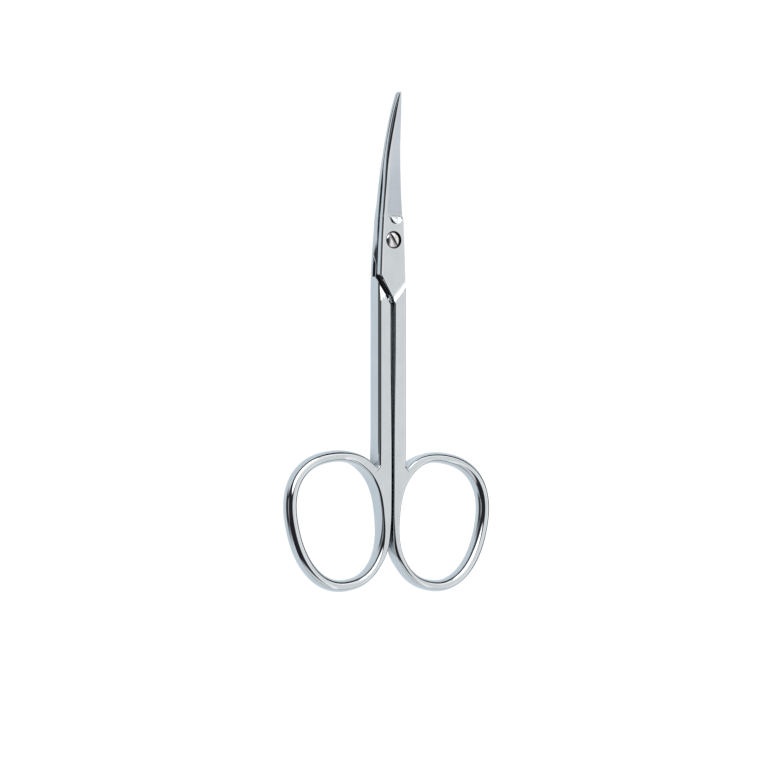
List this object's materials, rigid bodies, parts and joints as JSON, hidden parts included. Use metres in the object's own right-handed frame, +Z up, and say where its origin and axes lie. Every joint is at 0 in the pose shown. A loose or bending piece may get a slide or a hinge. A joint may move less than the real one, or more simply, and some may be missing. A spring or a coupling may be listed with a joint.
{
  "type": "manicure scissors",
  "caption": "Small curved manicure scissors: two forged steel halves with ground blades and finger rings, turning on a slotted pivot screw.",
  "frame": {"origin": "middle of the bounding box in plan, on the surface that the closed scissors lie on", "axes": "+Y along the scissors towards the blade tips, +Z up through the pivot screw's head, the side that the blades curve towards, +X towards the front half's ring"},
  "size_m": [0.0424, 0.09, 0.006],
  "materials": {
    "plated_steel": "polished bright plate, satin on the ground blade faces",
    "screw_steel": "polished, turned and slotted"
  },
  "bodies": {
    "rear_half": {"rear_half": "plated_steel", "pivot_screw": "screw_steel"},
    "front_half": {"front_half": "plated_steel"}
  },
  "joints": [
    {"name": "pivot_hinge", "type": "hinge", "parent": "rear_half", "child": "front_half", "pos_m": [0.0005, 0.01842, 0.00187], "axis": [0, 0, 1], "range_deg": [0, 130]}
  ]
}
